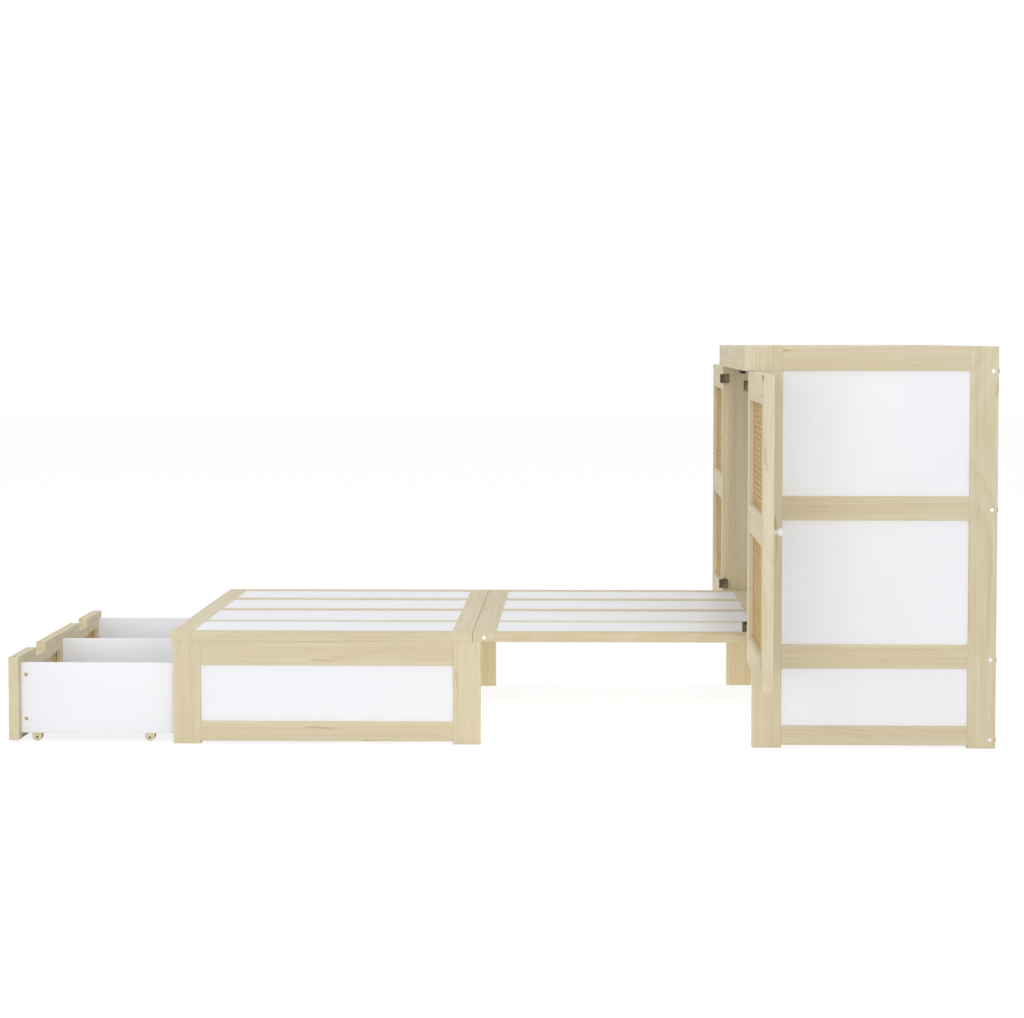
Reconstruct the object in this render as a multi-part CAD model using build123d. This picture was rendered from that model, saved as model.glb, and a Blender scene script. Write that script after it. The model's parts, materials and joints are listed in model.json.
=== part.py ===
from build123d import *
import os

# A wall bed, unfolded. A cabinet stands against the wall, a deck in three
# sections runs out of it, the foot section stands on its own box of legs, and
# a drawer is pulled out of that box. Millimetres, +Z up. The foot of the bed
# points to -Y and the wall is at +Y. Solids are laid out with the cabinet's
# front face at y = 0, and moved at the end so that the origin is on the floor
# at the centre of the whole bed.

# Boards
board = 25.0
ease = 0.8
panel = 9.0
panel_inset = 7.0
tongue = 6.0

# Cabinet
cabinet_depth = 627.0
cabinet_height = 1036.0
front_post_depth = 76.0
back_post_depth = 72.0
header_height = 62.6
header_thickness = 24.5
top_thickness = 18.0
middle_rail_bottom = 589.2
middle_rail_height = 62.5
low_rail_height = 62.1
bottom_rail_bottom = 7.6
bottom_rail_height = 50.3
back_stile_width = 72.0
back_top_rail_height = 62.0

# Deck
deck_width = 1250.0
deck_side_gap = 12.0
deck_top = 292.0
deck_board = 23.5
deck_panel = 12.0
deck_panel_drop = 1.2
deck_rail_width = 55.0
separator_pitch = 316.0
separator_width = 60.0
narrow_separator_width = 27.0
foot_overhang = 8.0
foot_section_length = 790.5
foot_cross_width = 54.0
middle_section_length = 798.5
middle_cross_width = 60.0
seam_gap = 1.0
wall_gap = 2.0
ledge_drop = 0.1
ledge_width = 37.0
ledge_height = 28.0

# Leg box under the foot section
leg_depth = 72.0
leg_reach = 21.0
apron_height = 63.1
leg_rail_bottom = 7.3
leg_rail_height = 51.8
end_rail_height = 39.5
guide_play = 0.3
guide_length = 25.5
guide_bottom = 190.0
guide_height = 15.0

# Doors
door_bottom = 226.0
door_side_gap = 0.5
door_thickness = 25.0
door_top_gap = 1.9
door_face_gap = 0.5
door_centre_gap = 3.0
door_stile_width = 72.0
door_top_rail = 70.0
door_middle_rail = 72.0
door_middle_centre = 375.0
door_bottom_rail = 71.0
cane = 2.5
knob_radius = 10.5
knob_neck_radius = 5.0
knob_neck = 8.0
knob_sink = 1.0
knob_edge_distance = 36.0

# Door hinges
pin_radius = 2.5
pin_clearance = 0.05
pin_side_inset = 5.0
pin_front_gap = 7.0
knuckle_radius = 4.5
hinge_height = 27.4
hinge_knuckle = 12.0
hinge_knuckle_gap = 0.3
hinge_plate = 2.5
hinge_plate_width = 15.0
hinge_leaf_inset = 2.0
hinge_weld = 1.0
hinge_arm = 6.0
hinge_arm_reach = 24.0
hinge_top_distance = 36.8
hinge_bottom_distance = 85.3
strike_width = 50.0
strike_height = 12.0
strike_thickness = 1.5
strike_proud = 0.3
strike_drop = 1.0
catch_depth = 14.0
catch_height = 32.0
catch_drop = 15.0

# Drawer
drawer_pull_out = 406.0
drawer_front_thickness = 26.0
drawer_front_bottom = 7.0
drawer_front_height = 218.0
drawer_top_rail = 46.0
drawer_bottom_rail = 42.0
drawer_stile_width = 72.0
notch_width = 130.0
notch_depth = 24.0
notch_pitch = 640.0
drawer_side_inset = 35.0
drawer_side = 15.0
drawer_side_bottom = 22.0
drawer_side_height = 185.0
drawer_length = 412.5
drawer_floor = 9.0
drawer_floor_lift = 12.0
cam_radius = 5.0
cam_depth = 10.0
cam_proud = 0.4
cam_setback = 13.5
cam_low = 37.0
cam_high = 153.4

# Drawer rollers
roller_radius = 10.4
roller_width = 12.0
roller_play = 1.0
axle_radius = 3.0
axle_clearance = 0.05
cheek = 6.0
cheek_width = 25.0
cheek_floor_gap = 1.0
front_roller_setback = 41.0
rear_roller_setback = 338.5

# Fixings
nut_radius = 5.0
nut_depth = 14.0
nut_proud = 0.4
nut_in_bottom_rail = 14.9
nut_in_low_rail = 23.7
nut_in_middle_rail = 27.7
nut_under_header = 0.4
bolt_head_radius = 6.0
bolt_head = 2.2
bolt_radius = 3.0
screw_radius = 3.0
screw_depth = 20.0
screw_proud = 0.2
header_screw_pitch = 375.0
header_screw_height = 53.0
barrel_radius = 7.0
barrel_length = 26.0
barrel_cover = 3.5
barrel_pitch = 480.0

# Places worked out from the sizes above
half_cabinet = deck_width / 2 + deck_side_gap + board
inner_side = half_cabinet - board
half_deck = deck_width / 2
header_bottom = cabinet_height - header_height
deck_bottom = deck_top - deck_board
low_rail_bottom = deck_bottom - ledge_drop - low_rail_height
head_seam = front_post_depth + seam_gap / 2
foot_seam = front_post_depth - middle_section_length - seam_gap
foot_end = foot_seam + seam_gap / 2 - foot_section_length
leg_front = foot_end + foot_overhang
leg_back = foot_seam + leg_reach
drawer_front_face = leg_front - drawer_pull_out
drawer_outer_face = drawer_front_face - drawer_front_thickness
pin_x = half_cabinet - pin_side_inset
pin_y = -pin_front_gap
door_top = header_bottom - door_top_gap
door_closed_edge = door_centre_gap / 2
door_hinge_edge = half_cabinet + door_side_gap
door_width = 2 * pin_x - door_closed_edge - door_hinge_edge
door_inner_face = 2 * pin_y + door_face_gap
hinge_heights = (door_bottom + hinge_bottom_distance, door_top - hinge_top_distance)
origin_shift = -(drawer_outer_face + cabinet_depth + bolt_head) / 2

nodes = {}


def block(x, y, z):
    """A box between the low and high values of each axis, in either order."""
    pairs = (x, y, z)
    centre = [(a + b) / 2 for a, b in pairs]
    return Pos(*centre) * Box(*[abs(b - a) for a, b in pairs])


def plank(x, y, z):
    """A board with its edges eased."""
    solid = block(x, y, z)
    return fillet(solid.edges(), ease)


def rod(start, length, radius, axis):
    """A cylinder from a start point along +X, +Y or +Z."""
    turn = {"x": Rot(0, 90, 0), "y": Rot(-90, 0, 0), "z": Rot(0, 0, 0)}[axis]
    base = Cylinder(radius, length, align=(Align.CENTER, Align.CENTER, Align.MIN))
    return Pos(*start) * turn * base


def cut(solids, tools):
    """Each solid less every tool that reaches it."""
    result = []
    for solid in solids:
        for tool in tools:
            if solid.bounding_box().overlaps(tool.bounding_box()):
                solid = solid - tool
        result.append(solid)
    return result


def add(name, solids):
    """Store a node, moved to the row's origin."""
    kept = [part for solid in solids for part in solid.solids()]
    nodes[name] = Pos(0, origin_shift, 0) * Compound(children=kept)


def both(make):
    """What make(side) gives for the left side, -1, and the right side, +1."""
    return [solid for side in (-1, 1) for solid in make(side)]


def side_panel_x(side, outer):
    """The panel's two faces, set in from the frame's outer face."""
    return side * (outer - panel_inset), side * (outer - panel_inset - panel)


def cabinet_rail_levels():
    """Bottom and top of each rail of a cabinet side, from the floor up."""
    return (
        (bottom_rail_bottom, bottom_rail_bottom + bottom_rail_height),
        (low_rail_bottom, low_rail_bottom + low_rail_height),
        (middle_rail_bottom, middle_rail_bottom + middle_rail_height),
        (header_bottom, cabinet_height),
    )


def gaps_between(levels):
    """The spaces between neighbouring levels."""
    return [(low[1], high[0]) for low, high in zip(levels, levels[1:])]


def hinge_mortises(side):
    """Pockets in a front post's face for the fixed hinge plates."""
    x = (side * inner_side, side * (inner_side + hinge_plate_width))
    half = hinge_height / 2
    return [block(x, (-1, hinge_plate), (z - half, z + half)) for z in hinge_heights]


def nut_levels():
    """Heights of the cross nuts, one at each rail of the back."""
    bottoms = [level[0] for level in cabinet_rail_levels()]
    offsets = (nut_in_bottom_rail, nut_in_low_rail, nut_in_middle_rail, -nut_under_header)
    return [low + offset for low, offset in zip(bottoms, offsets)]


def frame_nuts(side):
    """Cross nuts let into the outer face of a back post."""
    y = cabinet_depth - nut_depth
    start = half_cabinet + nut_proud - board / 2
    low = start if side > 0 else -start - board / 2
    return [rod((low, y, z), board / 2, nut_radius, "x") for z in nut_levels()]


def frame_bolts(side):
    """Bolts from the back face into the cross nuts."""
    x = side * (half_cabinet - board / 2)
    shank = nut_depth - nut_radius
    bolts = []
    for z in nut_levels():
        head = rod((x, cabinet_depth, z), bolt_head, bolt_head_radius, "y")
        bolts.append(head + rod((x, cabinet_depth - shank, z), shank, bolt_radius, "y"))
    return bolts


def header_screws():
    """Screws in the header's front, along its top edge and low at its ends."""
    places = [(k * header_screw_pitch / 2, header_screw_height) for k in (-3, -1, 1, 3)]
    places += [(side * 1.5 * header_screw_pitch, header_height - header_screw_height) for side in (-1, 1)]
    y = -header_thickness - screw_proud
    return [rod((x, y, header_bottom + z), screw_depth, screw_radius, "y") for x, z in places]


def build_cabinet_sides():
    levels = cabinet_rail_levels()
    bay = (front_post_depth, cabinet_depth - back_post_depth)
    all_rails, all_panels, blocks = [], [], []
    for side, word in ((-1, "left"), (1, "right")):
        x = (side * inner_side, side * half_cabinet)
        px = side_panel_x(side, half_cabinet)
        panels = [
            block(px, (bay[0] - tongue, bay[1] + tongue), (low - tongue, high + tongue))
            for low, high in gaps_between(levels)
        ]
        fixings = frame_nuts(side) + frame_bolts(side)
        front = plank(x, (0, bay[0]), (0, header_bottom))
        back = plank(x, (bay[1], cabinet_depth), (0, cabinet_height))
        rails = [plank(x, bay, level) for level in levels]
        add(f"cabinet_front_post_{word}", cut([front], panels + hinge_mortises(side)))
        add(f"cabinet_back_post_{word}", cut([back], panels + fixings))
        header_end = plank(x, (-header_thickness, bay[0]), (header_bottom, cabinet_height))
        blocks += cut([header_end], panels)
        all_rails += cut(rails, panels)
        all_panels += panels
    add("header_blocks", blocks)
    add("cabinet_side_rails", all_rails)
    add("cabinet_side_panels", all_panels)
    add("back_post_nuts", cut(both(frame_nuts), both(frame_bolts)))
    add("cabinet_bolts_and_screws", both(frame_bolts) + header_screws())


def build_cabinet_top():
    x = (-inner_side, inner_side)
    z = (header_bottom, cabinet_height)
    header = plank(x, (-header_thickness, 0), z)
    add("header_board", cut([header], header_screws()))
    add("cabinet_top", [plank(x, (0, cabinet_depth), (cabinet_height - top_thickness, cabinet_height))])


def build_cabinet_back():
    y = (cabinet_depth - board, cabinet_depth)
    top = cabinet_height - top_thickness
    levels = cabinet_rail_levels()[:3] + ((top - back_top_rail_height, top),)
    rails = [plank((-inner_side, inner_side), y, level) for level in levels]
    half = back_stile_width / 2
    face = cabinet_depth - panel_inset
    spaces = gaps_between(levels)
    stiles = [plank((-half, half), y, space) for space in spaces]
    panels = both(lambda side: [
        block((side * (half - tongue), side * inner_side), (face - panel, face), (low - tongue, high + tongue))
        for low, high in spaces
    ])
    add("back_frame", cut(rails + stiles, panels))
    add("back_panels", panels)


def separators_x():
    """Low and high x of each long separator of the deck."""
    centres = (-separator_pitch, 0.0, separator_pitch)
    widths = (separator_width, separator_width, narrow_separator_width)
    return [(c - w / 2, c + w / 2) for c, w in zip(centres, widths)]


def deck_section(front, back, cross):
    """Cross rails, long rails, separators and panels of a section."""
    z = (deck_bottom, deck_top)
    inner = (front + cross, back - cross)
    rail = half_deck - deck_rail_width
    strips = [(-half_deck, -rail)] + separators_x() + [(rail, half_deck)]
    face = deck_top - deck_panel_drop
    panels = [
        block(
            (low - tongue, high + tongue),
            (inner[0] - tongue, inner[1] + tongue),
            (face - deck_panel, face),
        )
        for low, high in gaps_between(strips)
    ]
    crosses = [plank((-half_deck, half_deck), y, z) for y in ((front, inner[0]), (inner[1], back))]
    boards = [plank(strip, inner, z) for strip in strips]
    boards = cut(boards, panels)
    return cut(crosses, panels), [boards[0], boards[-1]], boards[1:-1], panels


def barrels(edge, direction):
    """Concealed hinge barrels let into a section's edge."""
    z = deck_top - barrel_radius - barrel_cover
    y = edge if direction > 0 else edge - barrel_length
    places = (-barrel_pitch, 0.0, barrel_pitch)
    return [rod((x, y, z), barrel_length, barrel_radius, "y") for x in places]


def build_head_section():
    back = cabinet_depth - board - wall_gap
    crosses, rails, strips, panels = deck_section(head_seam, back, middle_cross_width)
    hinges = barrels(head_seam, 1)
    add("head_deck_frame", cut(crosses + rails + strips, hinges))
    add("head_deck_panels", panels)
    add("head_deck_hinges", hinges)
    z = (deck_bottom - ledge_height, deck_bottom)
    sides = both(lambda side: [
        plank((side * inner_side, side * (inner_side - ledge_width)), (0, cabinet_depth - board), z)
    ])
    far = inner_side - ledge_width
    wall = cabinet_depth - board
    add("head_deck_ledges", sides + [plank((-far, far), (wall - ledge_width, wall), z)])


def build_middle_section():
    front = foot_seam + seam_gap / 2
    back = head_seam - seam_gap
    crosses, rails, strips, panels = deck_section(front, back, middle_cross_width)
    hinges = barrels(front, 1) + barrels(back, -1)
    caps = both(lambda side: [
        rod(
            ((half_deck + nut_proud - board) if side > 0 else -half_deck - nut_proud,
             front + middle_cross_width / 2, deck_bottom + deck_board / 2),
            board, nut_radius, "x",
        )
    ])
    add("middle_deck_cross_rails", cut(crosses, hinges + caps))
    add("middle_deck_long_rails", rails)
    add("middle_deck_separators", strips)
    add("middle_deck_panels", panels)
    add("middle_deck_hinges", hinges)
    add("middle_deck_nuts", caps)


def build_foot_section():
    back = foot_seam - seam_gap / 2
    crosses, rails, strips, panels = deck_section(foot_end, back, foot_cross_width)
    hinges = barrels(back, -1)
    add("foot_deck_cross_rails", cut(crosses, hinges))
    add("foot_deck_long_rails", rails)
    add("foot_deck_separators", strips)
    add("foot_deck_panels", panels)
    add("foot_deck_hinges", hinges)


def build_leg_box():
    bay = (leg_front + leg_depth, leg_back - leg_depth)
    levels = (
        (leg_rail_bottom, leg_rail_bottom + leg_rail_height),
        (deck_bottom - apron_height, deck_bottom),
    )
    space = (levels[0][1] - tongue, levels[1][0] + tongue)
    inner = half_deck - board
    post_y = ((leg_front, bay[0]), (bay[1], leg_back))
    posts, rails, panels, guides = [], [], [], []
    guide_y = (leg_front, leg_front + guide_length)
    guide_z = (guide_bottom, guide_bottom + guide_height)
    for side in (-1, 1):
        x = (side * inner, side * half_deck)
        panels.append(block(side_panel_x(side, half_deck), (bay[0] - tongue, bay[1] + tongue), space))
        posts += [plank(x, y, (0, deck_bottom)) for y in post_y]
        rails += [plank(x, bay, z) for z in levels]
        reach = half_deck - drawer_side_inset + guide_play
        guides.append(plank((side * reach, side * inner), guide_y, guide_z))
    add("leg_posts", cut(posts, panels))
    add("leg_side_rails", cut(rails, panels))
    add("leg_side_panels", panels)
    add("drawer_guides", guides)
    z = (deck_bottom - end_rail_height, deck_bottom)
    ends = ((leg_front, leg_front + board), (bay[1], bay[1] + board))
    add("leg_end_rails", [plank((-inner, inner), y, z) for y in ends])


def door_levels():
    """Bottom and top of each rail of a door."""
    centre = door_bottom + door_middle_centre
    return (
        (door_bottom, door_bottom + door_bottom_rail),
        (centre - door_middle_rail / 2, centre + door_middle_rail / 2),
        (door_top - door_top_rail, door_top),
    )


def hinge_rings(side, z, spans):
    """Knuckle rings round the pin, one for each span of height."""
    rings = []
    for low, high in spans:
        start = (side * pin_x, pin_y, z + low)
        ring = rod(start, high - low, knuckle_radius, "z")
        rings.append(ring - rod(start, high - low, pin_radius + pin_clearance, "z"))
    return rings


def hinge_arms(side):
    """Fixed hinge halves: a plate in the post, an arm past it and a knuckle."""
    arms = []
    half = hinge_height / 2
    knuckle = (-hinge_knuckle / 2, hinge_knuckle / 2)
    face = side * inner_side
    web_end = side * (pin_x - pin_radius - hinge_weld)
    for z in hinge_heights:
        tall = (z - half, z + half)
        plate = block((face, face + side * hinge_plate_width), (0, hinge_plate), tall)
        arm = plank((face - side * hinge_arm, face), (-hinge_arm_reach, hinge_plate), tall)
        web = block((face - side * hinge_weld, web_end), (pin_y - pin_radius, pin_y + pin_radius),
                    (z + knuckle[0], z + knuckle[1]))
        web = web - rod((side * pin_x, pin_y, z - half), hinge_height, pin_radius + pin_clearance, "z")
        arms.append(plate + arm + web + hinge_rings(side, z, [knuckle])[0])
    return arms


def hinge_leaves(side):
    """Moving hinge halves: a leaf let into the door's edge and two knuckles."""
    leaves = []
    half = hinge_height / 2
    inner = hinge_knuckle / 2 + hinge_knuckle_gap
    edge = side * door_hinge_edge
    spans = [(-half, -inner), (inner, half)]
    for z in hinge_heights:
        leaf = block(
            (edge, edge + side * hinge_plate),
            (door_inner_face + hinge_leaf_inset, door_inner_face + door_thickness - hinge_leaf_inset),
            (z - half, z + half),
        )
        bore = rod((side * pin_x, pin_y, z - half), hinge_height, pin_radius + pin_clearance, "z")
        for ring, (low, high) in zip(hinge_rings(side, z, spans), spans):
            web = block((side * (pin_x + pin_radius + hinge_weld), edge + side * hinge_weld),
                        (pin_y - pin_radius, pin_y + pin_radius), (z + low, z + high))
            leaf = leaf + (web - bore) + ring
        leaves.append(leaf)
    return leaves


def hinge_pins(side):
    """The pins that both hinge halves turn on."""
    half = hinge_height / 2
    return [rod((side * pin_x, pin_y, z - half), hinge_height, pin_radius, "z") for z in hinge_heights]


def door_strike(side):
    """Steel plate near the free top corner that the catch holds."""
    x = side * (door_hinge_edge + door_width - door_stile_width / 2)
    z = door_top - strike_height / 2 - strike_drop
    return block(
        (x - strike_width / 2, x + strike_width / 2),
        (door_inner_face - strike_proud, door_inner_face - strike_proud + strike_thickness),
        (z - strike_height / 2, z + strike_height / 2),
    )


def knob(side):
    """Turned knob on the door's outer face, beside its free edge."""
    x = side * (door_hinge_edge + door_width - knob_edge_distance)
    y = door_inner_face + door_thickness
    z = door_bottom + door_middle_centre
    neck = rod((x, y, z), knob_neck + 2 * knob_sink, knob_neck_radius, "y")
    ball = Pos(x, y + knob_neck + knob_radius - knob_sink, z) * Sphere(knob_radius)
    return neck + ball


def build_door(side, word):
    y = (door_inner_face, door_inner_face + door_thickness)
    near, far = door_hinge_edge, door_hinge_edge + door_width
    levels = door_levels()
    middle = (y[0] + y[1]) / 2
    canes = [
        block(
            (side * (near + door_stile_width - tongue), side * (far - door_stile_width + tongue)),
            (middle - cane / 2, middle + cane / 2),
            (low - tongue, high + tongue),
        )
        for low, high in gaps_between(levels)
    ]
    fittings = canes + hinge_leaves(side) + [door_strike(side)]
    height = (door_bottom, door_top)
    stiles = [
        plank((side * near, side * (near + door_stile_width)), y, height),
        plank((side * (far - door_stile_width), side * far), y, height),
    ]
    across = (side * (near + door_stile_width), side * (far - door_stile_width))
    rails = [plank(across, y, level) for level in levels]
    add(f"door_stiles_{word}", cut(stiles, fittings))
    add(f"door_rails_{word}", cut(rails, fittings))
    add(f"door_cane_{word}", canes)
    add(f"door_hinge_leaves_{word}", hinge_leaves(side))
    add(f"door_hinge_pins_{word}", hinge_pins(side))
    add(f"door_strike_{word}", [door_strike(side)])
    add(f"door_knob_{word}", [knob(side)])


def build_door_fittings():
    add("door_hinge_arms", both(hinge_arms))
    x = door_closed_edge + door_stile_width / 2
    z = (header_bottom - catch_drop, header_bottom - catch_drop + catch_height)
    add("door_catches", both(lambda side: [
        block((side * x - strike_width / 2, side * x + strike_width / 2), (0, catch_depth), z)
    ]))


def drawer_cams(side):
    """Cam locks let into a drawer side near the front."""
    y = drawer_front_face + cam_setback
    outer = half_deck - drawer_side_inset + cam_proud
    low = outer - cam_depth if side > 0 else -outer
    return [rod((low, y, drawer_side_bottom + h), cam_depth, cam_radius, "x") for h in (cam_low, cam_high)]


def build_drawer_front():
    y = (drawer_outer_face, drawer_front_face)
    top = drawer_front_bottom + drawer_front_height
    low_rail = (drawer_front_bottom, drawer_front_bottom + drawer_bottom_rail)
    top_rail = (top - drawer_top_rail, top)
    space = (low_rail[1], top_rail[0])
    half = drawer_stile_width / 2
    middle = (y[0] + y[1]) / 2
    inner = half_deck - drawer_stile_width
    canes = both(lambda side: [
        block(
            (side * (half - tongue), side * (inner + tongue)),
            (middle - cane / 2, middle + cane / 2),
            (space[0] - tongue, space[1] + tongue),
        )
    ])
    notches = both(lambda side: [
        block(
            (side * notch_pitch / 2 - notch_width / 2, side * notch_pitch / 2 + notch_width / 2),
            (y[0] - 1, y[1] + 1),
            (top - notch_depth, top + 1),
        )
    ])
    wide = (-half_deck, half_deck)
    stiles = [plank((a, b), y, space) for a, b in ((-half_deck, -inner), (-half, half), (inner, half_deck))]
    add("drawer_top_rail", cut([plank(wide, y, top_rail)], canes + notches))
    add("drawer_front_frame", cut(stiles + [plank(wide, y, low_rail)], canes))
    add("drawer_cane", canes)


def build_drawer_box():
    outer = half_deck - drawer_side_inset
    inner = outer - drawer_side
    y = (drawer_front_face, drawer_front_face + drawer_length)
    z = (drawer_side_bottom, drawer_side_bottom + drawer_side_height)
    within = (y[0], y[1] - drawer_side)
    low = drawer_side_bottom + drawer_floor_lift
    half = drawer_side / 2
    sides = both(lambda side: [plank((side * inner, side * outer), y, z)])
    add("drawer_sides", cut(sides, both(drawer_cams)))
    back = plank((-inner, inner), (within[1], y[1]), z)
    divider = plank((-half, half), within, (low + drawer_floor, z[1]))
    add("drawer_back_and_divider", [back, divider])
    add("drawer_floor", [block((-inner, inner), within, (low, low + drawer_floor))])
    add("drawer_cams", both(drawer_cams))


def roller_x(side):
    """Outer cheek, roller and inner cheek, each as a pair of x values."""
    outer = half_deck - drawer_side_inset
    wheel = outer - cheek - roller_play
    inner = wheel - roller_width - roller_play
    return [
        (side * outer, side * (outer - cheek)),
        (side * wheel, side * (wheel - roller_width)),
        (side * inner, side * (inner - cheek)),
    ]


def roller_cheeks(side, y):
    """Round-ended cheeks either side of a roller."""
    pairs = roller_x(side)
    tops = (drawer_side_bottom, drawer_side_bottom + drawer_floor_lift)
    radius = cheek_width / 2
    cheeks = []
    for pair, top in zip((pairs[0], pairs[2]), tops):
        low = min(pair)
        centre = radius + cheek_floor_gap
        outline = block(pair, (y - radius, y + radius), (0, top))
        round_end = rod((low, y, centre), cheek, radius, "x") & outline
        body = block(pair, (y - radius, y + radius), (centre, top))
        bore = rod((low - 1, y, roller_radius), cheek + 2, axle_radius + axle_clearance, "x")
        cheeks.append((round_end + body) - bore)
    return cheeks


def roller(side, y):
    """A roller with its bore."""
    pair = roller_x(side)[1]
    start = (min(pair), y, roller_radius)
    wheel = rod(start, roller_width, roller_radius, "x")
    return wheel - rod(start, roller_width, axle_radius + axle_clearance, "x")


def roller_axle(side, y):
    """The axle through both cheeks, flush with their outer faces."""
    pairs = roller_x(side)
    ends = [value for pair in pairs for value in pair]
    return rod((min(ends), y, roller_radius), max(ends) - min(ends), axle_radius, "x")


def build_rollers():
    front = drawer_front_face + front_roller_setback
    rear = drawer_front_face + rear_roller_setback
    places = [(side, y) for side in (-1, 1) for y in (front, rear)]
    add("roller_cheeks", [cheek_part for side, y in places for cheek_part in roller_cheeks(side, y)])
    add("roller_axles", [roller_axle(side, y) for side, y in places])
    add("front_rollers", [roller(side, front) for side in (-1, 1)])
    add("rear_rollers", [roller(side, rear) for side in (-1, 1)])


def main():
    build_cabinet_sides()
    build_cabinet_top()
    build_cabinet_back()
    build_head_section()
    build_middle_section()
    build_foot_section()
    build_leg_box()
    build_door(-1, "left")
    build_door(1, "right")
    build_door_fittings()
    build_drawer_front()
    build_drawer_box()
    build_rollers()
    os.makedirs("parts", exist_ok=True)
    for name, shape in nodes.items():
        export_step(shape, f"parts/{name}.step")
    print(len(nodes), "nodes, origin shift", origin_shift)


main()
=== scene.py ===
import json
import math
import random
import bpy
import bmesh
from mathutils import Matrix, Vector


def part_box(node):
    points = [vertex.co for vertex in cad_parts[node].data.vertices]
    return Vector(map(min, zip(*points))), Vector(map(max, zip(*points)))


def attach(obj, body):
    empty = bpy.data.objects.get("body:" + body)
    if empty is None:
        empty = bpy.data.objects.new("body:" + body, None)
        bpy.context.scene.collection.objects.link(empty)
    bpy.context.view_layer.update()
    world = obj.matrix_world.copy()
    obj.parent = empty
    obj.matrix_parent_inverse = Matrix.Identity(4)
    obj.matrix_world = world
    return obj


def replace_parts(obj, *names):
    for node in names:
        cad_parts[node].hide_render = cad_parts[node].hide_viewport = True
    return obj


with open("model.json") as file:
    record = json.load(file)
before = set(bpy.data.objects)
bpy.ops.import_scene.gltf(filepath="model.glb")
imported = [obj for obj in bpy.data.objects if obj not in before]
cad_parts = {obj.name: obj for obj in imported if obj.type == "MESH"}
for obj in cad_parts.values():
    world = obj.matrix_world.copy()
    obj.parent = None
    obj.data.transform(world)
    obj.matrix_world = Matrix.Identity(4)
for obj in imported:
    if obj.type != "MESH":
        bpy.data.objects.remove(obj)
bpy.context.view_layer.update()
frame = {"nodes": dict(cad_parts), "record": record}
scene = bpy.context.scene
scene.view_settings.view_transform = "Standard"
print("stage: frame loaded,", len(frame["nodes"]), "nodes")


def screen(red, green, blue):
    return tuple(((c / 255 + 0.055) / 1.055) ** 2.4 for c in (red, green, blue)) + (1.0,)


# Camera, lamps and room

camera = {
    "place": (7.82605, 0.22838, 1.0586),
    "turnLeft": 0.02703,
    "lookDown": 0.06148,
    "focalPixels": 2785.0,
    "imageWidth": 1024,
    "sensor": 36.0,
    "farClip": 100,
}

lamps = {
    "key": {
        "power": 72, "size": (3.0, 3.0), "place": (1.8, -8.0, 2.2), "aim": (0.3, 0.1, 0.4),
        "colour": (1, 0.82, 0.45),
    },
    "front": {
        "power": 456, "size": (8.0, 2.4), "place": (12.0, 0.1, 1.4), "aim": (0.3, 0.1, 0.4),
        "colour": (1, 1, 1),
    },
    "top": {
        "power": 90, "size": (4.5, 4.5), "place": (0.5, -0.3, 5.5), "aim": (0.3, 0.1, 0.4),
        "colour": (1, 1, 1),
    },
    "fill": {  # low under the deck, for the far posts
        "power": 5.6, "size": (0.8, 0.16), "place": (0.55, 0.3, 0.14), "aim": (-0.62, 0.3, 0.12),
        "colour": (1, 0.94, 0.76),
    },
}

room = {
    "skyColour": (0.955, 0.98, 1.0, 1),
    "skyStrength": 0.6,
    "plainWhite": (1, 1, 1, 1),
    "floorColour": (0.8, 0.8, 0.8, 1),
    "floorSeen": (0.22, 0.22, 0.22, 1),
    "floorGlow": 0.86,
    "floorRoughness": 0.9,
    "floorSize": 60.0,
}


def makeCamera():
    data = bpy.data.cameras.new("camera")
    data.sensor_fit = "HORIZONTAL"
    data.sensor_width = camera["sensor"]
    data.lens = camera["focalPixels"] / camera["imageWidth"] * camera["sensor"]
    data.clip_end = camera["farClip"]
    turn, down = camera["turnLeft"], camera["lookDown"]
    right = Vector((-math.sin(turn), math.cos(turn), 0))
    level = math.cos(down)
    forward = Vector((-math.cos(turn) * level, -math.sin(turn) * level, -math.sin(down)))
    up = right.cross(forward)
    item = bpy.data.objects.new("camera", data)
    facing = Matrix((right, up, -forward)).transposed().to_4x4()
    item.matrix_world = Matrix.Translation(camera["place"]) @ facing
    scene.collection.objects.link(item)
    scene.camera = item


def makeLamps():
    for name, lamp in lamps.items():
        data = bpy.data.lights.new(name, "AREA")
        data.energy = lamp["power"]
        data.color = lamp["colour"]
        data.shape = "RECTANGLE"
        data.size, data.size_y = lamp["size"]
        item = bpy.data.objects.new(name, data)
        place = Vector(lamp["place"])
        aim = (Vector(lamp["aim"]) - place).to_track_quat("-Z", "Y")
        item.matrix_world = Matrix.Translation(place) @ aim.to_matrix().to_4x4()
        item.visible_camera = False
        scene.collection.objects.link(item)


def seenDirectly(nodes, links):  # 1 for rays that should see the plain background
    path = nodes.new("ShaderNodeLightPath")
    first = nodes.new("ShaderNodeMath")
    first.operation = "MAXIMUM"
    second = nodes.new("ShaderNodeMath")
    second.operation = "MAXIMUM"
    links.new(path.outputs["Is Camera Ray"], first.inputs[0])
    links.new(path.outputs["Is Glossy Ray"], first.inputs[1])
    links.new(first.outputs[0], second.inputs[0])
    links.new(path.outputs["Is Transmission Ray"], second.inputs[1])
    return second.outputs[0]


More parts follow.
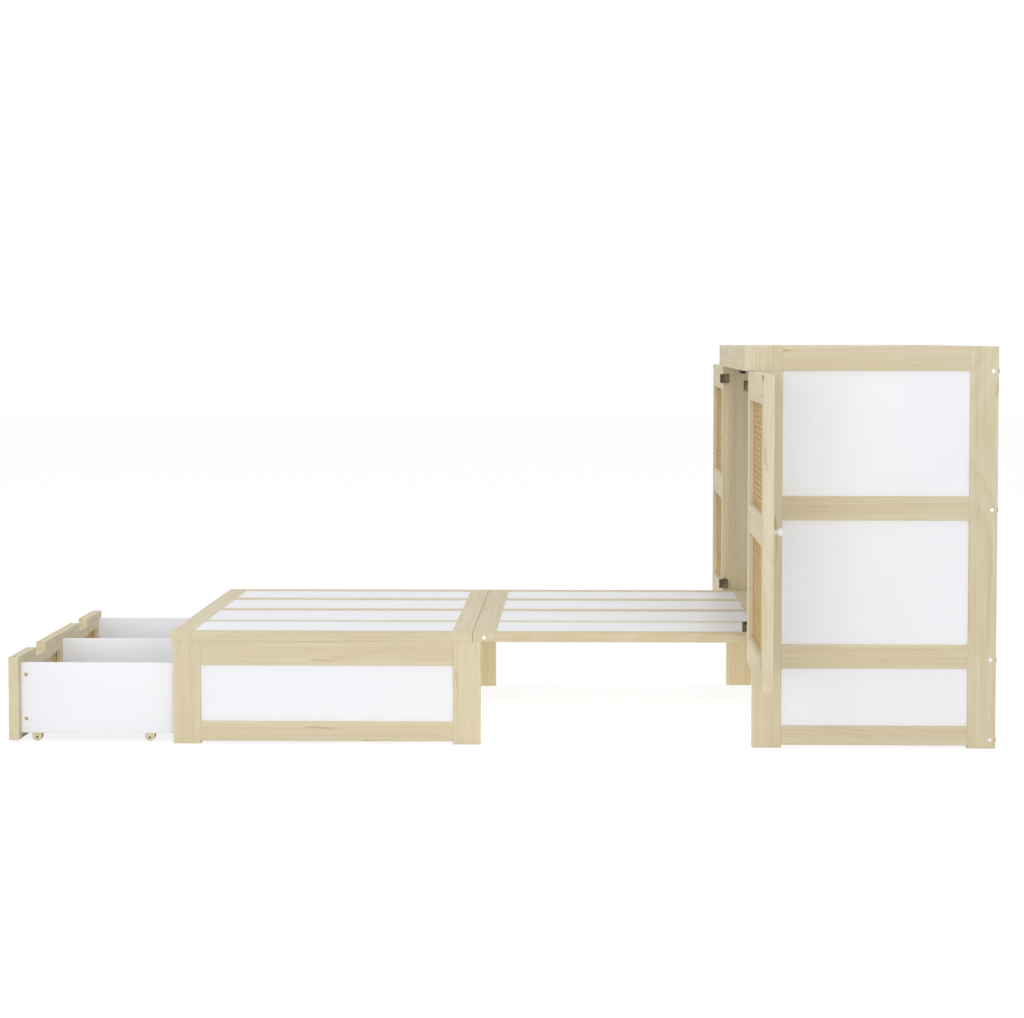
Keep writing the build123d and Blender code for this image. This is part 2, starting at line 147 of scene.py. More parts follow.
def makeRoom():
    world = bpy.data.worlds.new("studio")
    world.use_nodes = True
    scene.world = world
    nodes, links = world.node_tree.nodes, world.node_tree.links
    background = nodes["Background"]
    seen = seenDirectly(nodes, links)
    sky = blended(world.node_tree, seen, room["skyColour"], room["plainWhite"])
    links.new(sky, background.inputs["Color"])
    strength = nodes.new("ShaderNodeMapRange")
    strength.inputs["To Min"].default_value = room["skyStrength"]
    strength.inputs["To Max"].default_value = 1.0
    links.new(seen, strength.inputs["Value"])
    links.new(strength.outputs["Result"], background.inputs["Strength"])

    bm = bmesh.new()
    bmesh.ops.create_grid(bm, x_segments=1, y_segments=1, size=room["floorSize"] / 2)
    mesh = bpy.data.meshes.new("floor")
    bm.to_mesh(mesh)
    bm.free()
    floor = bpy.data.objects.new("floor", mesh)
    scene.collection.objects.link(floor)
    material = bpy.data.materials.new("floorPaper")
    material.use_nodes = True
    nodes, links = material.node_tree.nodes, material.node_tree.links
    paper = nodes["Principled BSDF"]
    paper.inputs["Roughness"].default_value = room["floorRoughness"]
    paper.inputs["Specular IOR Level"].default_value = 0.0
    paper.inputs["Emission Color"].default_value = room["plainWhite"]
    glow = nodes.new("ShaderNodeMath")
    glow.operation = "MULTIPLY"
    glow.inputs[1].default_value = room["floorGlow"]
    seen = seenDirectly(nodes, links)
    links.new(seen, glow.inputs[0])
    links.new(glow.outputs[0], paper.inputs["Emission Strength"])
    colour = blended(material.node_tree, seen, room["floorColour"], room["floorSeen"])
    links.new(colour, paper.inputs["Base Color"])
    floor.data.materials.append(material)


# Shader node groups

def newGroup(name, inputs, outputs):
    group = bpy.data.node_groups.new(name, "ShaderNodeTree")
    for label, kind, value in inputs:
        socket = group.interface.new_socket(label, in_out="INPUT", socket_type="NodeSocket" + kind)
        if value is not None:
            socket.default_value = value
    for label, kind in outputs:
        group.interface.new_socket(label, in_out="OUTPUT", socket_type="NodeSocket" + kind)
    return group, group.nodes.new("NodeGroupInput"), group.nodes.new("NodeGroupOutput")


def stretched(group, place, scale, **settings):  # noise drawn out along a board or a strand
    spread = group.nodes.new("ShaderNodeVectorMath")
    spread.operation = "MULTIPLY"
    spread.inputs[1].default_value = scale
    group.links.new(place, spread.inputs[0])
    noise = group.nodes.new("ShaderNodeTexNoise")
    for label, value in settings.items():
        noise.inputs[label].default_value = value
    noise.inputs["Scale"].default_value = 1.0
    group.links.new(spread.outputs[0], noise.inputs["Vector"])
    return noise.outputs["Fac"]


def ranged(group, value, fromLow, fromHigh, toLow=0.0, toHigh=1.0):
    node = group.nodes.new("ShaderNodeMapRange")
    limits = {"From Min": fromLow, "From Max": fromHigh, "To Min": toLow, "To Max": toHigh}
    for label, number in limits.items():
        node.inputs[label].default_value = number
    group.links.new(value, node.inputs["Value"])
    return node.outputs["Result"]


def blended(group, factor, first, second):
    node = group.nodes.new("ShaderNodeMix")
    node.data_type = "RGBA"
    colours = [socket for socket in node.inputs if socket.type == "RGBA"]
    for value, socket in ((factor, node.inputs[0]), (first, colours[0]), (second, colours[1])):
        if isinstance(value, bpy.types.NodeSocket):
            group.links.new(value, socket)
        else:
            socket.default_value = value
    return next(socket for socket in node.outputs if socket.type == "RGBA")


def combined(group, kind, first, second):
    node = group.nodes.new("ShaderNodeMath")
    node.operation = kind
    for value, socket in ((first, node.inputs[0]), (second, node.inputs[1])):
        if isinstance(value, bpy.types.NodeSocket):
            group.links.new(value, socket)
        else:
            socket.default_value = value
    return node.outputs[0]


white = (1, 1, 1, 1)
noiseSpan = (0.3, 0.7)  # what a noise really covers of its 0 to 1

grain = {
    "fineRange": (0.36, 0.66),
    "bandRange": (0.34, 0.66),
    "fine": (2.2, 190, 190),
    "bands": (0.9, 30, 30),
    "lens": (6.5, 60, 60),
    "pores": (30, 900, 900),
    "wander": (1.4, 5, 5),
    "wanderBy": 0.03,
    "ringWidth": 0.0052,
    "ringStart": 0.35,
    "ringDark": 0.93,
    "fineShare": 0.42,
    "bandShare": 0.36,
    "ringShare": 0.3,
    "knotRange": (0.69, 0.80),
    "knotShare": 0.6,
    "darkestBoard": 0.965,
    "roughness": (0.46, 0.6),
    "fineHeight": 0.6,
    "poreHeight": 0.4,
}


def ringMask(group, place):  # dark late wood, in rings round a heart beside the board
    section = group.nodes.new("ShaderNodeVectorMath")
    section.operation = "MULTIPLY"
    section.inputs[1].default_value = (0, 1, 1)
    group.links.new(place, section.inputs[0])
    fromHeart = group.nodes.new("ShaderNodeVectorMath")
    fromHeart.operation = "LENGTH"
    group.links.new(section.outputs[0], fromHeart.inputs[0])
    wander = stretched(group, place, grain["wander"], Detail=2.0)
    wandered = ranged(group, wander, *noiseSpan, 0.0, grain["wanderBy"])
    radius = combined(group, "ADD", fromHeart.outputs["Value"], wandered)
    ring = combined(group, "FRACT", combined(group, "DIVIDE", radius, grain["ringWidth"]), 0.0)
    rising = ranged(group, ring, grain["ringStart"], grain["ringDark"])
    return combined(group, "MULTIPLY", rising, ranged(group, ring, 1.0, grain["ringDark"]))


def makeGrainGroup():
    group, given, out = newGroup(
        "pineGrain",
        [("Place", "Vector", None), ("Tone", "Float", 0.5), ("Pale", "Color", white),
         ("Warm", "Color", white), ("Knot", "Color", white), ("Figure", "Float", 0.5)],
        [("Color", "Color"), ("Roughness", "Float"), ("Height", "Float")],
    )
    place = given.outputs["Place"]
    fine = stretched(group, place, grain["fine"], Detail=4.0, Roughness=0.6)
    bands = stretched(group, place, grain["bands"], Detail=2.0, Distortion=0.4)
    lens = stretched(group, place, grain["lens"], Detail=1.0, Distortion=0.6)
    pores = stretched(group, place, grain["pores"], Detail=2.0)
    fineShade = ranged(group, fine, *grain["fineRange"], 0.0, grain["fineShare"])
    bandShade = ranged(group, bands, *grain["bandRange"], 0.0, grain["bandShare"])
    ringShade = combined(group, "MULTIPLY", ringMask(group, place), grain["ringShare"])
    streaks = combined(group, "ADD", combined(group, "ADD", fineShade, bandShade), ringShade)
    streaks = combined(group, "MULTIPLY", streaks, given.outputs["Figure"])
    base = blended(group, streaks, given.outputs["Pale"], given.outputs["Warm"])
    knots = ranged(group, lens, *grain["knotRange"], 0.0, grain["knotShare"])
    base = blended(group, knots, base, given.outputs["Knot"])
    toned = group.nodes.new("ShaderNodeVectorMath")
    toned.operation = "SCALE"
    group.links.new(base, toned.inputs[0])
    tone = ranged(group, given.outputs["Tone"], 0.0, 1.0, grain["darkestBoard"], 1.0)
    group.links.new(tone, toned.inputs["Scale"])
    group.links.new(toned.outputs[0], out.inputs["Color"])
    group.links.new(ranged(group, fine, *noiseSpan, *grain["roughness"]), out.inputs["Roughness"])
    fineHeight = ranged(group, fine, *noiseSpan, 0.0, grain["fineHeight"])
    poreHeight = ranged(group, pores, *noiseSpan, 0.0, grain["poreHeight"])
    group.links.new(combined(group, "ADD", fineHeight, poreHeight), out.inputs["Height"])
    return group


peel = {
    "cloud": (3.5, 3.5, 3.5),
    "even": (1, 1, 1),
}


def makePeelGroup():  # sprayed paint and moulded plastic: a fine uneven skin
    group, given, out = newGroup(
        "skinPeel",
        [("Place", "Vector", None), ("Color", "Color", white), ("Cloud", "Color", white),
         ("Scale", "Float", 400.0), ("Smooth", "Float", 0.35), ("Rough", "Float", 0.45)],
        [("Color", "Color"), ("Roughness", "Float"), ("Height", "Float")],
    )
    scaled = group.nodes.new("ShaderNodeVectorMath")
    scaled.operation = "SCALE"
    group.links.new(given.outputs["Place"], scaled.inputs[0])
    group.links.new(given.outputs["Scale"], scaled.inputs["Scale"])
    skin = stretched(group, scaled.outputs[0], peel["even"], Detail=3.0)
    cloud = stretched(group, given.outputs["Place"], peel["cloud"], Detail=3.0)
    clouded = ranged(group, cloud, *noiseSpan)
    colour = blended(group, clouded, given.outputs["Color"], given.outputs["Cloud"])
    group.links.new(colour, out.inputs["Color"])
    rough = group.nodes.new("ShaderNodeMapRange")
    group.links.new(cloud, rough.inputs["Value"])
    group.links.new(given.outputs["Smooth"], rough.inputs["To Min"])
    group.links.new(given.outputs["Rough"], rough.inputs["To Max"])
    group.links.new(rough.outputs["Result"], out.inputs["Roughness"])
    group.links.new(skin, out.inputs["Height"])
    return group


wear = {
    "speckleRange": (0.35, 0.65),
    "speckle": (900, 900, 900),
    "brushed": (2600, 2600, 90),
    "corner": (0.52, 0.62),
    "brushShare": 0.22,
    "roughness": (0.3, 0.48),
}


def makeWearGroup():  # rubbed corners and fine scratches on metal
    group, given, out = newGroup(
        "edgeWear",
        [("Place", "Vector", None), ("Color", "Color", white), ("Worn", "Color", white),
         ("Amount", "Float", 0.5)],
        [("Color", "Color"), ("Roughness", "Float"), ("Height", "Float")],
    )
    geometry = group.nodes.new("ShaderNodeNewGeometry")
    corner = ranged(group, geometry.outputs["Pointiness"], *wear["corner"])
    speckle = stretched(group, given.outputs["Place"], wear["speckle"], Detail=3.0)
    mask = combined(group, "MULTIPLY", corner, ranged(group, speckle, *wear["speckleRange"]))
    mask = combined(group, "MULTIPLY", mask, given.outputs["Amount"])
    brushed = stretched(group, given.outputs["Place"], wear["brushed"], Detail=2.0)
    scratches = ranged(group, brushed, *noiseSpan, 0.0, wear["brushShare"])
    shade = blended(group, scratches, given.outputs["Color"], given.outputs["Worn"])
    group.links.new(blended(group, mask, shade, given.outputs["Worn"]), out.inputs["Color"])
    group.links.new(ranged(group, brushed, *noiseSpan, *wear["roughness"]), out.inputs["Roughness"])
    group.links.new(brushed, out.inputs["Height"])
    return group


fibre = {
    "patchRange": (0.35, 0.65),
    "fibres": (12, 2600, 7.3),
    "patches": (9, 0.1, 5.1),
    "scars": (26, 0.1, 9.7),
    "fibreShare": 0.25,
    "patchShare": 0.25,
    # how far Tone darkens a strand: painted shade for its place in the weave
    "toneShare": 0.6,
    "scarRange": (0.66, 0.72),
    "scarShare": 0.7,
    "roughness": (0.38, 0.58),
}


def makeFibreGroup():  # split cane: glossy skin with long fibres and darker leaf scars, plus painted shade on whole strands from the Tone input
    group, given, out = newGroup(
        "caneFibre",
        [("Place", "Vector", None), ("Tone", "Float", 0.5), ("Pale", "Color", white),
         ("Dark", "Color", white), ("Scar", "Color", white)],
        [("Color", "Color"), ("Roughness", "Float"), ("Height", "Float")],
    )
    place = given.outputs["Place"]
    fibres = stretched(group, place, fibre["fibres"], Detail=3.0)
    patches = stretched(group, place, fibre["patches"], Detail=2.0)
    scars = stretched(group, place, fibre["scars"], Detail=1.0)
    fibreShade = ranged(group, fibres, *noiseSpan, 0.0, fibre["fibreShare"])
    patchShade = ranged(group, patches, *fibre["patchRange"], 0.0, fibre["patchShare"])
    # painted shade: Tone darkens whole strands by their place in the weave
    paintedShadeAmount = combined(group, "MULTIPLY", given.outputs["Tone"], fibre["toneShare"])
    shade = combined(group, "ADD", combined(group, "ADD", fibreShade, patchShade), paintedShadeAmount)
    base = blended(group, shade, given.outputs["Pale"], given.outputs["Dark"])
    scarred = ranged(group, scars, *fibre["scarRange"], 0.0, fibre["scarShare"])
    group.links.new(blended(group, scarred, base, given.outputs["Scar"]), out.inputs["Color"])
    group.links.new(ranged(group, fibres, *noiseSpan, *fibre["roughness"]), out.inputs["Roughness"])
    group.links.new(fibres, out.inputs["Height"])
    return group


makeCamera()
makeLamps()
makeRoom()
print("stage: camera, lamps and floor")

groups = {
    "grain": makeGrainGroup(),
    "peel": makePeelGroup(),
    "wear": makeWearGroup(),
    "fibre": makeFibreGroup(),
}


# Materials

finishes = {
    "pineWood": {
        "group": "grain", "place": "grainPlace", "tone": "boardTone",
        "bump": 0.05, "depth": 0.0004, "metallic": 0.0, "specular": 0.16, "edge": 0.0007,
        "sockets": {
            "Pale": screen(226, 216, 190), "Warm": screen(210, 193, 156),
            "Knot": screen(188, 162, 114), "Figure": 1.0,
        },
    },
    "whitePaint": {
        "group": "peel",
        "bump": 0.03, "depth": 0.0003, "metallic": 0.0, "specular": 0.4, "edge": 0.0003,
        "sockets": {
            "Color": screen(242, 243, 247), "Cloud": screen(239, 240, 245),
            "Scale": 500.0, "Smooth": 0.34, "Rough": 0.42,
        },
    },
    "cane": {
        "group": "fibre", "place": "strandPlace", "tone": "strandTone",
        "bump": 0.2, "depth": 0.0003, "metallic": 0.0, "specular": 0.32,
        "sockets": {
            "Pale": screen(236, 214, 160), "Dark": screen(190, 160, 104),
            "Scar": screen(138, 106, 60),
        },
    },
    "bronze": {
        "group": "wear",
        "bump": 0.1, "depth": 0.0002, "metallic": 0.6, "specular": 0.3, "edge": 0.0004,
        "sockets": {"Color": screen(84, 74, 60), "Worn": screen(156, 142, 118), "Amount": 0.8},
    },
    # dark steel for bolts, screws and strikes; also the painted shade of the hole and slot discs
    "darkSteel": {
        "group": "wear",
        "bump": 0.1, "depth": 0.0002, "metallic": 0.5, "specular": 0.3, "edge": 0.0002,
        "sockets": {"Color": screen(78, 68, 54), "Worn": screen(120, 108, 90), "Amount": 0.6},
    },
    "camSteel": {
        "group": "wear",
        "bump": 0.1, "depth": 0.0002, "metallic": 0.3, "specular": 0.3, "edge": 0.0003,
        "sockets": {"Color": screen(172, 146, 108), "Worn": screen(206, 186, 150), "Amount": 0.7},
    },
    "brass": {
        "group": "wear",
        "bump": 0.1, "depth": 0.0002, "metallic": 1.0, "specular": 0.5, "edge": 0.0003,
        "sockets": {"Color": screen(204, 176, 116), "Worn": screen(226, 206, 156), "Amount": 0.7},
    },
    "zinc": {
        "group": "wear",
        "bump": 0.1, "depth": 0.0002, "metallic": 0.35, "specular": 0.3, "edge": 0.0004,
        "sockets": {"Color": screen(216, 216, 216), "Worn": screen(234, 234, 234), "Amount": 0.7},
    },
    "knobGlaze": {
        "group": "peel",
        "bump": 0.02, "depth": 0.0002, "metallic": 0.0, "specular": 0.5,
        "sockets": {
            "Color": screen(238, 236, 232), "Cloud": screen(232, 229, 224),
            "Scale": 900.0, "Smooth": 0.12, "Rough": 0.2,
        },
    },
    "greyPlastic": {
        "group": "peel",
        "bump": 0.12, "depth": 0.0002, "metallic": 0.0, "specular": 0.4, "edge": 0.0004,
        "sockets": {
            "Color": screen(150, 148, 146), "Cloud": screen(140, 138, 137),
            "Scale": 2200.0, "Smooth": 0.45, "Rough": 0.6,
        },
    },
    "blackPlastic": {
        "group": "peel",
        "bump": 0.12, "depth": 0.0002, "metallic": 0.0, "specular": 0.3, "edge": 0.0012,
        "sockets": {
            "Color": screen(42, 40, 38), "Cloud": screen(34, 32, 31),
            "Scale": 2200.0, "Smooth": 0.4, "Rough": 0.55,
        },
    },
}


def makeMaterial(name, finish):
    material = bpy.data.materials.new(name)
    material.use_nodes = True
    nodes, links = material.node_tree.nodes, material.node_tree.links
    shader = nodes["Principled BSDF"]
    shader.inputs["Metallic"].default_value = finish["metallic"]
    shader.inputs["Specular IOR Level"].default_value = finish["specular"]
    effect = nodes.new("ShaderNodeGroup")
    effect.node_tree = groups[finish["group"]]
    for label, value in finish["sockets"].items():
        effect.inputs[label].default_value = value
    if "place" in finish:
        source = nodes.new("ShaderNodeAttribute")
        source.attribute_name = finish["place"]
        links.new(source.outputs["Vector"], effect.inputs["Place"])
    else:
        source = nodes.new("ShaderNodeTexCoord")
        links.new(source.outputs["Object"], effect.inputs["Place"])
    # Tone is a random board tone for pine, and painted shade on the strands for cane
    if "tone" in finish:
        tone = nodes.new("ShaderNodeAttribute")
        tone.attribute_name = finish["tone"]
        links.new(tone.outputs["Fac"], effect.inputs["Tone"])
    bump = nodes.new("ShaderNodeBump")
    bump.inputs["Strength"].default_value = finish["bump"]
    bump.inputs["Distance"].default_value = finish["depth"]
    links.new(effect.outputs["Height"], bump.inputs["Height"])
    links.new(effect.outputs["Color"], shader.inputs["Base Color"])
    links.new(effect.outputs["Roughness"], shader.inputs["Roughness"])
    links.new(bump.outputs["Normal"], shader.inputs["Normal"])
    return material


materials = {name: makeMaterial(name, finish) for name, finish in finishes.items()}
print("stage: materials,", len(materials))


# Boards and fittings: every edge is eased, and each pine board gets its own grain

boardwork = {
    "mergeWithin": 1e-5,
    "flatWithin": math.radians(0.5),
    "seed": 11,
    "spread": 40.0,
    "heartNear": 0.05,
    "heartFar": 0.16,
    "sharpAbove": math.radians(35),
    "smoothBelow": math.radians(21),
    "easeSteps": 2,
    "grainAxis": {"header_blocks": 2},
    "builtApart": ("woven_cane", "white_knob"),
    "finishOfNode": {
        "cabinet_bolts_and_screws": "darkSteel", "drawer_cams": "camSteel", "door_catches": "blackPlastic",
        "door_strike_left": "darkSteel", "door_strike_right": "darkSteel",
    },
    "roundInCad": ("door_stiles_left", "door_stiles_right"),
    "sunkFaces": ("door_hinge_arms", "door_hinge_leaves_left", "door_hinge_leaves_right"),
    "bigFace": 0.0003,
    "sunkRim": 0.0028,
    "sunkDepth": 0.0005,
}

bodyOf = {node: body for body, members in frame["record"]["behaviour"]["bodies"].items() for node in members}
slotOf = {part["node"]: part["material_slot"] for part in frame["record"]["subparts"]}
finishOf = {
    "pine": "pineWood",
    "white_board": "whitePaint",
    "woven_cane": "cane",
    "bronzed_steel": "bronze",
    "hinge_brass": "brass",
    "plated_steel": "zinc",
    "white_knob": "knobGlaze",
    "grey_plastic": "greyPlastic",
}


def camel(node):
    first, *rest = node.split("_")
    return first + "".join(word.capitalize() for word in rest)


def islands(bm):
    seen, found = set(), []
    for start in bm.verts:
        if start in seen:
            continue
        group, waiting = [], [start]
        seen.add(start)
        while waiting:
            vert = waiting.pop()
            group.append(vert)
            for edge in vert.link_edges:
                other = edge.other_vert(vert)
                if other not in seen:
                    seen.add(other)
                    waiting.append(other)
        found.append(group)
    return found


def cornersOf(group):  # the box round one loose part
    return [Vector([pick(vert.co[i] for vert in group) for i in range(3)]) for pick in (min, max)]


def layGrain(bm, axis, seed):
    place = bm.verts.layers.float_vector.new("grainPlace")
    tone = bm.verts.layers.float.new("boardTone")
    chance = random.Random(seed)
    for group in islands(bm):
        low, high = cornersOf(group)
        size = [high[i] - low[i] for i in range(3)]
        middle = [(high[i] + low[i]) / 2 for i in range(3)]
        along = size.index(max(size)) if axis is None else axis
        across = [i for i in range(3) if i != along]
        heart = chance.uniform(boardwork["heartNear"], boardwork["heartFar"])
        turn = chance.uniform(0, math.tau)
        start = chance.uniform(-1, 1) * boardwork["spread"]
        offset = Vector((start, heart * math.cos(turn), heart * math.sin(turn)))
        shade = chance.random()
        for vert in group:
            fromMiddle = [vert.co[i] - middle[i] for i in (along, *across)]
            vert[place] = Vector(fromMiddle) + offset
            vert[tone] = shade


def addPiece(bm, name, body, finish):
    mesh = bpy.data.meshes.new(name)
    bm.to_mesh(mesh)
    bm.free()
    if "custom_normal" in mesh.attributes:  # left from the CAD mesh, and wrong once faces are merged
        mesh.attributes.remove(mesh.attributes["custom_normal"])
    piece = bpy.data.objects.new(name, mesh)
    scene.collection.objects.link(piece)
    mesh.materials.append(materials[finish])
    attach(piece, body)
    return piece


def mergedCopy(node):
    bm = bmesh.new()
    bm.from_mesh(frame["nodes"][node].data)
    bmesh.ops.remove_doubles(bm, verts=bm.verts, dist=boardwork["mergeWithin"])
    bmesh.ops.dissolve_limit(bm, angle_limit=boardwork["flatWithin"], verts=bm.verts, edges=bm.edges)
    return bm


def easeEdges(bm, width):
    sharp = [e for e in bm.edges if e.is_manifold and e.calc_face_angle(0) > boardwork["sharpAbove"]]
    bmesh.ops.bevel(
        bm, geom=sharp, offset=width, offset_type="OFFSET", segments=boardwork["easeSteps"],
        profile=0.5, affect="EDGES", clamp_overlap=True, material=-1,
    )


def smoothRounds(bm):
    for face in bm.faces:
        face.smooth = True
    for edge in bm.edges:
        edge.smooth = edge.is_manifold and edge.calc_face_angle(0) < boardwork["smoothBelow"]


def dressNodes():
    for count, (node, slot) in enumerate(sorted(slotOf.items())):
        if slot in boardwork["builtApart"]:
            continue
        finish = boardwork["finishOfNode"].get(node, finishOf[slot])
        bm = mergedCopy(node)
        if node in boardwork["sunkFaces"]:
            big = [face for face in bm.faces if face.calc_area() > boardwork["bigFace"]]
            rim, sunk = boardwork["sunkRim"], -boardwork["sunkDepth"]
            bmesh.ops.inset_individual(bm, faces=big, thickness=rim, depth=sunk)
        if node not in boardwork["roundInCad"]:
            easeEdges(bm, finishes[finish]["edge"])
        if slot == "pine":
            layGrain(bm, boardwork["grainAxis"].get(node), boardwork["seed"] + count)
        smoothRounds(bm)
        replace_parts(addPiece(bm, camel(node), bodyOf[node], finish), node)


dressNodes()
print("stage: boards, fittings and rollers")


# Woven cane: upright and level pairs with slanting strands through every crossing; uprights and slants carry
# painted shade

weave = {
    "pitch": 0.0142,
    "pairGap": 0.0042,
    "width": 0.0022,
    "slantWidth": 0.0026,
    "thick": 0.0004,
    "backLayer": 0.00062,
    "lift": 0.00036,
    "slantLift": 0.00085,
    "waveSteps": 4,  # bends in a wavy strand for each pitch
    "slantSteps": 2,
    # painted shade: uprights and slants are coloured darker than the level strands, as if shaded by the
    # weave
    "tones": {"upright": 0.75, "levelFlat": 0.0, "levelWavy": 0.1, "slant": 1.0},
    "fibreSpread": 50,
    "seed": 5,
}


def layStrand(bm, start, direction, length, width, steps, tone, chance, depthAt):
    place = bm.verts.layers.float_vector["strandPlace"]
    shade = bm.verts.layers.float["strandTone"]
    side = Vector((-direction.z, 0, direction.x))
    spread = weave["fibreSpread"]
    offset = Vector((chance.uniform(0, spread), 0, chance.uniform(0, spread)))
    for vert in bmesh.ops.create_grid(bm, x_segments=steps, y_segments=1, size=0.5)["verts"]:
        run, across = (vert.co.x + 0.5) * length, vert.co.y * width
        vert[place] = Vector((run, across, 0)) + offset
        # the strand's painted shade
        vert[shade] = tone
        vert.co = start + direction * run + side * across + Vector((0, depthAt(run), 0))


def weavePanel(bm, low, high, chance):
    pitch, gap, lift = weave["pitch"], weave["pairGap"] / 2, weave["lift"]
    thin, tones = weave["width"], weave["tones"]
    width, height, depth = high.x - low.x, high.z - low.z, (low.y + high.y) / 2
    columns, rows = int(width / pitch), int(height / pitch)
    firstX = low.x + (width - (columns - 1) * pitch) / 2
    firstZ = low.z + (height - (rows - 1) * pitch) / 2
    up, level = Vector((0, 0, 1)), Vector((1, 0, 0))
    for k in range(columns):
        x = firstX + k * pitch
        for shift, layer in ((-gap, -weave["backLayer"]), (gap, weave["backLayer"])):
            start = Vector((x + shift, depth, low.z))
            layStrand(bm, start, up, height, thin, 1, tones["upright"], chance,
                      lambda run, away=layer: away)
    waveTurn = math.tau / pitch
    waveSteps = columns * weave["waveSteps"]
    for k in range(rows):
        z = firstZ + k * pitch
        layStrand(bm, Vector((low.x, depth, z - gap)), level, width, thin, 1, tones["levelFlat"],
                  chance, lambda run: 0.0)
        layStrand(bm, Vector((low.x, depth, z + gap)), level, width, thin, waveSteps,
                  tones["levelWavy"], chance, lambda run: lift * math.sin(run * waveTurn))
    slantLength = height * math.sqrt(2)
    slantSteps = rows * weave["slantSteps"]
    slantTurn = math.tau / (pitch * math.sqrt(2))
    for leaning in (1, -1):
        direction = Vector((leaning, 0, 1)).normalized()
        for k in range(-rows - 1, columns + rows + 1):
            x = firstX + k * pitch - leaning * (firstZ - low.z)
            if max(x, x + leaning * height) < low.x or min(x, x + leaning * height) > high.x:
                continue
            start = Vector((x, depth, low.z))
            layStrand(bm, start, direction, slantLength, weave["slantWidth"], slantSteps,
                      tones["slant"], chance,
                      lambda run, way=leaning: way * weave["slantLift"] * math.cos(run * slantTurn))
    for point, outward in ((low, -level), (high, level), (low, -up), (high, up)):
        whole = [*bm.verts, *bm.edges, *bm.faces]
        bmesh.ops.bisect_plane(bm, geom=whole, plane_co=point, plane_no=outward, clear_outer=True)


def makeCane():
    chance = random.Random(weave["seed"])
    for node in ("door_cane_left", "door_cane_right", "drawer_cane"):
        solid = mergedCopy(node)
        rooms = [cornersOf(group) for group in islands(solid)]
        solid.free()
        whole = bmesh.new()
        whole.verts.layers.float_vector.new("strandPlace")
        whole.verts.layers.float.new("strandTone")
        for low, high in rooms:
            part = bmesh.new()
            part.verts.layers.float_vector.new("strandPlace")
            part.verts.layers.float.new("strandTone")
            weavePanel(part, low, high, chance)
            sheet = bpy.data.meshes.new("sheet")
            part.to_mesh(sheet)
            part.free()
            whole.from_mesh(sheet)
            bpy.data.meshes.remove(sheet)
        piece = addPiece(whole, camel(node), bodyOf[node], "cane")
        solidify = piece.modifiers.new("strandThickness", "SOLIDIFY")
        solidify.thickness = weave["thick"]
        solidify.offset = 0
        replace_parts(piece, node)


makeCane()
print("stage: woven cane")


# Turned door knobs

knobs = {
    "rings": 28,
    "profile": [
        (0.0, 0.0074), (0.0012, 0.0078), (0.0024, 0.0066), (0.0034, 0.0050), (0.0062, 0.0046),
        (0.0084, 0.0056), (0.0100, 0.0076), (0.0124, 0.0094), (0.0156, 0.0104), (0.0190, 0.0102),
        (0.0222, 0.0088), (0.0246, 0.0064), (0.0260, 0.0034), (0.0264, 0.0),
    ],
}


def makeKnobs():
    for node in ("door_knob_left", "door_knob_right"):
        low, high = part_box(node)
        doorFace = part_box(node.replace("knob", "stiles"))[1].y
        centre = Vector(((low.x + high.x) / 2, doorFace, (low.z + high.z) / 2))
        bm = bmesh.new()
        verts = [bm.verts.new(centre + Vector((radius, out, 0))) for out, radius in knobs["profile"]]
        edges = [bm.edges.new(pair) for pair in zip(verts, verts[1:])]
        bmesh.ops.spin(
            bm, geom=verts + edges, cent=centre, axis=(0, 1, 0), angle=math.tau,
            steps=knobs["rings"], use_merge=True,
        )
        bmesh.ops.remove_doubles(bm, verts=bm.verts, dist=boardwork["mergeWithin"])
        bmesh.ops.contextual_create(bm, geom=[e for e in bm.edges if e.is_boundary])
        bmesh.ops.recalc_face_normals(bm, faces=bm.faces)
        for face in bm.faces:
            face.smooth = True
        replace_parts(addPiece(bm, camel(node), bodyOf[node], "knobGlaze"), node)


makeKnobs()
print("stage: knobs")


# White cover caps on the doors' inner faces, and dark discs of painted shade where screw holes and a slot
# sit on the doors' inner faces and a notch on the drawer front's top edge

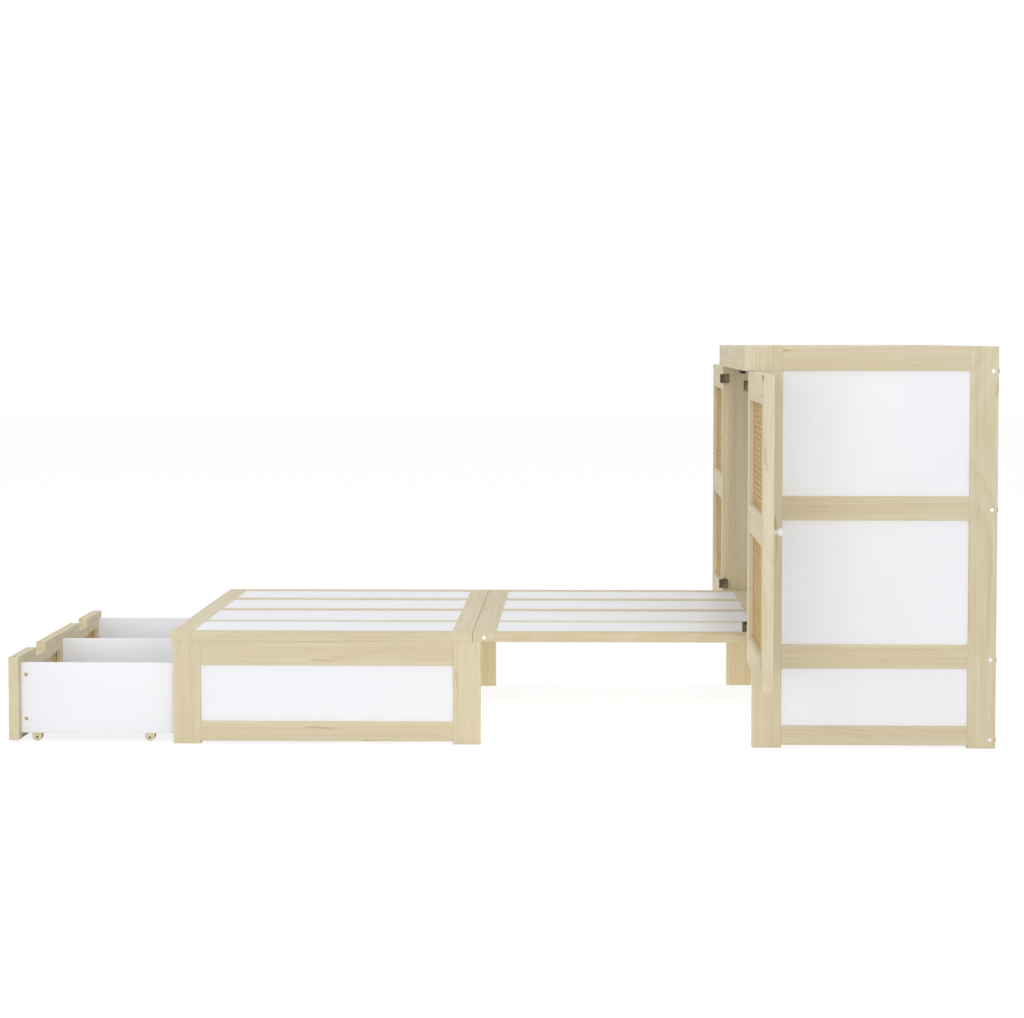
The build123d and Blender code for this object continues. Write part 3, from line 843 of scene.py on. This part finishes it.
capsAndShadeDots = {
    "rings": 20,
    "rimOut": 0.00045,
    "profile": [(0.0, 0.0), (0.0, 1.0), (1.0, 0.85), (1.0, 0.5), (0.2, 0.3), (0.2, 0.0)],
    "white": {
        "radius": 0.0045, "finish": "knobGlaze", "slot": "white_knob",
        "places": [(0.900, 0.283), (1.073, 0.283)],
    },
    # painted shade: dark discs stand in for the shade inside screw holes, and three in a row for a slot
    "dark": {
        "radius": 0.0032, "finish": "darkSteel", "slot": "bronzed_steel",
        "places": [(0.672, 0.920), (1.209, 0.920), (1.227, 0.276), (1.227, 0.284), (1.227, 0.292)],
    },
    "drawerRadius": 0.003,
    "drawerPlaces": (-0.608, 0.010, 0.612),
    "drawerSetback": 0.012,
}


def turnDisc(bm, centre, out, across, radius):  # the profile's pairs are shares of rim and radius
    verts = []
    for rise, wide in capsAndShadeDots["profile"]:
        verts.append(bm.verts.new(centre + out * (rise * capsAndShadeDots["rimOut"]) + across * (wide * radius)))
    edges = [bm.edges.new(pair) for pair in zip(verts, verts[1:])]
    bmesh.ops.spin(
        bm, geom=verts + edges, cent=centre, axis=out, angle=math.tau,
        steps=capsAndShadeDots["rings"], use_merge=True,
    )


def addCapsAndShadeDots(bm, name, node, kind):
    bmesh.ops.remove_doubles(bm, verts=bm.verts, dist=boardwork["mergeWithin"])
    bmesh.ops.recalc_face_normals(bm, faces=bm.faces)
    addPiece(bm, name, bodyOf[node], capsAndShadeDots[kind]["finish"])


def makeCapsAndShadeDots():
    out, across = Vector((0, -1, 0)), Vector((1, 0, 0))
    for side, sign in (("left", -1), ("right", 1)):
        door = "door_stiles_" + side
        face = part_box(door)[0].y
        for kind in ("white", "dark"):
            bm = bmesh.new()
            for x, z in capsAndShadeDots[kind]["places"]:
                turnDisc(bm, Vector((sign * x, face, z)), out, across, capsAndShadeDots[kind]["radius"])
            addCapsAndShadeDots(bm, kind + "Caps" + side.capitalize(), door, kind)


# painted shade: dark discs on the drawer front's top edge stand in for shaded holes
def makeDrawerMarks():
    out, across = Vector((0, 0, 1)), Vector((1, 0, 0))
    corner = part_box("drawer_top_rail")[1]
    bm = bmesh.new()
    for x in capsAndShadeDots["drawerPlaces"]:
        centre = Vector((x, corner.y - capsAndShadeDots["drawerSetback"], corner.z))
        turnDisc(bm, centre, out, across, capsAndShadeDots["drawerRadius"])
    addCapsAndShadeDots(bm, "drawerScrewHoles", "drawer_top_rail", "dark")


makeCapsAndShadeDots()
makeDrawerMarks()
print("stage: caps")
